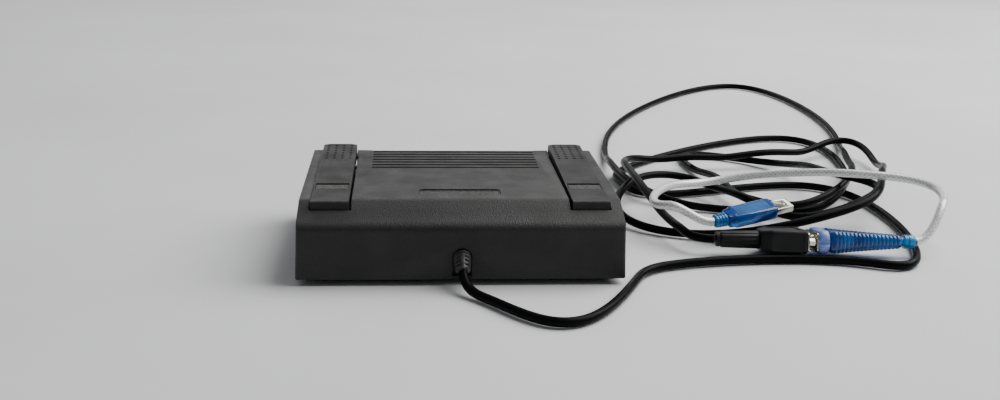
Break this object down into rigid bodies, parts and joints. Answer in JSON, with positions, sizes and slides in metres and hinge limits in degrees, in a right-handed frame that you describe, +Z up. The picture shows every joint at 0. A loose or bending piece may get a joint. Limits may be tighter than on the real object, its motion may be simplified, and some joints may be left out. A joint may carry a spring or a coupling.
{
  "type": "transcription foot pedal",
  "caption": "Wide low foot pedal with a tilting top shell, two narrow side pedals, a black cord, a moulded plug and a clear blue USB adapter.",
  "frame": {"origin": "on the floor, under the middle of the pedal housing", "axes": "+Z up, +Y towards the user's foot, +X to the forward pedal"},
  "size_m": [0.495, 0.7812, 0.0528],
  "materials": {
    "shell_plastic": "fine textured black ABS",
    "pedal_plastic": "fine textured black ABS",
    "base_plastic": "plain black ABS",
    "label_plastic": "worn dark printed film, blank",
    "rubber": "black rubber",
    "cord_vinyl": "smooth black PVC",
    "steel": "bright steel",
    "spring_steel": "spring wire",
    "board": "green printed circuit board",
    "switch_plastic": "grey moulded switch case",
    "white_plastic": "white nylon",
    "nickel": "nickel plate",
    "clear_blue": "blue clear moulded PVC",
    "clear_braid": "clear PVC over a silver braid"
  },
  "bodies": {
    "base": {"base_plate": "base_plastic", "shell_hinge_pin_left": "steel", "shell_hinge_pin_right": "steel", "play_spring_left": "spring_steel", "play_spring_right": "spring_steel", "play_switch": "switch_plastic", "circuit_board": "board", "board_screw_1": "steel", "board_screw_2": "steel", "board_screw_3": "steel", "board_screw_4": "steel", "wire_socket": "white_plastic", "cord_clamp": "base_plastic", "clamp_screw_left": "steel", "clamp_screw_right": "steel", "rubber_foot_1": "rubber", "rubber_foot_2": "rubber", "rubber_foot_3": "rubber", "rubber_foot_4": "rubber", "cord_gland": "rubber", "pedal_cord": "cord_vinyl", "plug_boot": "rubber", "plug_hood": "rubber", "plug_shell": "nickel", "plug_screw_near": "nickel", "plug_screw_far": "nickel", "adapter_shell": "nickel", "adapter_flange": "clear_blue", "adapter_hood": "clear_blue", "adapter_boot": "clear_blue", "adapter_lead": "clear_braid", "usb_boot": "clear_blue", "usb_housing": "clear_blue", "usb_shell": "nickel", "usb_tongue": "white_plastic"},
    "shell": {"top_shell": "shell_plastic", "badge": "label_plastic", "rewind_pivot_pin": "steel", "forward_pivot_pin": "steel", "rewind_switch": "switch_plastic", "forward_switch": "switch_plastic", "rewind_spring": "spring_steel", "forward_spring": "spring_steel"},
    "rewind_pedal": {"rewind_pedal": "pedal_plastic", "rewind_label": "label_plastic"},
    "forward_pedal": {"forward_pedal": "pedal_plastic", "forward_label": "label_plastic"},
    "play_plunger": {"play_plunger": "white_plastic"},
    "rewind_plunger": {"rewind_plunger": "white_plastic"},
    "forward_plunger": {"forward_plunger": "white_plastic"}
  },
  "joints": [
    {"name": "play_hinge", "type": "hinge", "parent": "base", "child": "shell", "pos_m": [0, -0.068, 0.013], "axis": [-1, 0, 0], "range_deg": [0, 2.2], "stiffness_Nm_per_rad": 6, "springref_deg": -3.44, "deforming": ["play_spring_left", "play_spring_right"]},
    {"name": "rewind_hinge", "type": "hinge", "parent": "shell", "child": "rewind_pedal", "pos_m": [-0.0798, -0.057, 0.0413], "axis": [-1, 0, 0], "range_deg": [0, 2.5], "stiffness_Nm_per_rad": 1, "springref_deg": -4.58, "deforming": ["rewind_spring"]},
    {"name": "forward_hinge", "type": "hinge", "parent": "shell", "child": "forward_pedal", "pos_m": [0.0798, -0.057, 0.0413], "axis": [-1, 0, 0], "range_deg": [0, 2.5], "stiffness_Nm_per_rad": 1, "springref_deg": -4.58, "deforming": ["forward_spring"]},
    {"name": "play_plunger_slide", "type": "slide", "parent": "base", "child": "play_plunger", "axis": [0, 0, -1], "range_m": [0, 0.0024]},
    {"name": "rewind_plunger_slide", "type": "slide", "parent": "shell", "child": "rewind_plunger", "axis": [0, 0, -1], "range_m": [0, 0.0018]},
    {"name": "forward_plunger_slide", "type": "slide", "parent": "shell", "child": "forward_plunger", "axis": [0, 0, -1], "range_m": [0, 0.0018]}
  ],
  "couplings": [
    {"joint": "play_plunger_slide", "follows": "play_hinge", "m_per_rad": 0.06},
    {"joint": "rewind_plunger_slide", "follows": "rewind_hinge", "m_per_rad": 0.039},
    {"joint": "forward_plunger_slide", "follows": "forward_hinge", "m_per_rad": 0.039}
  ]
}
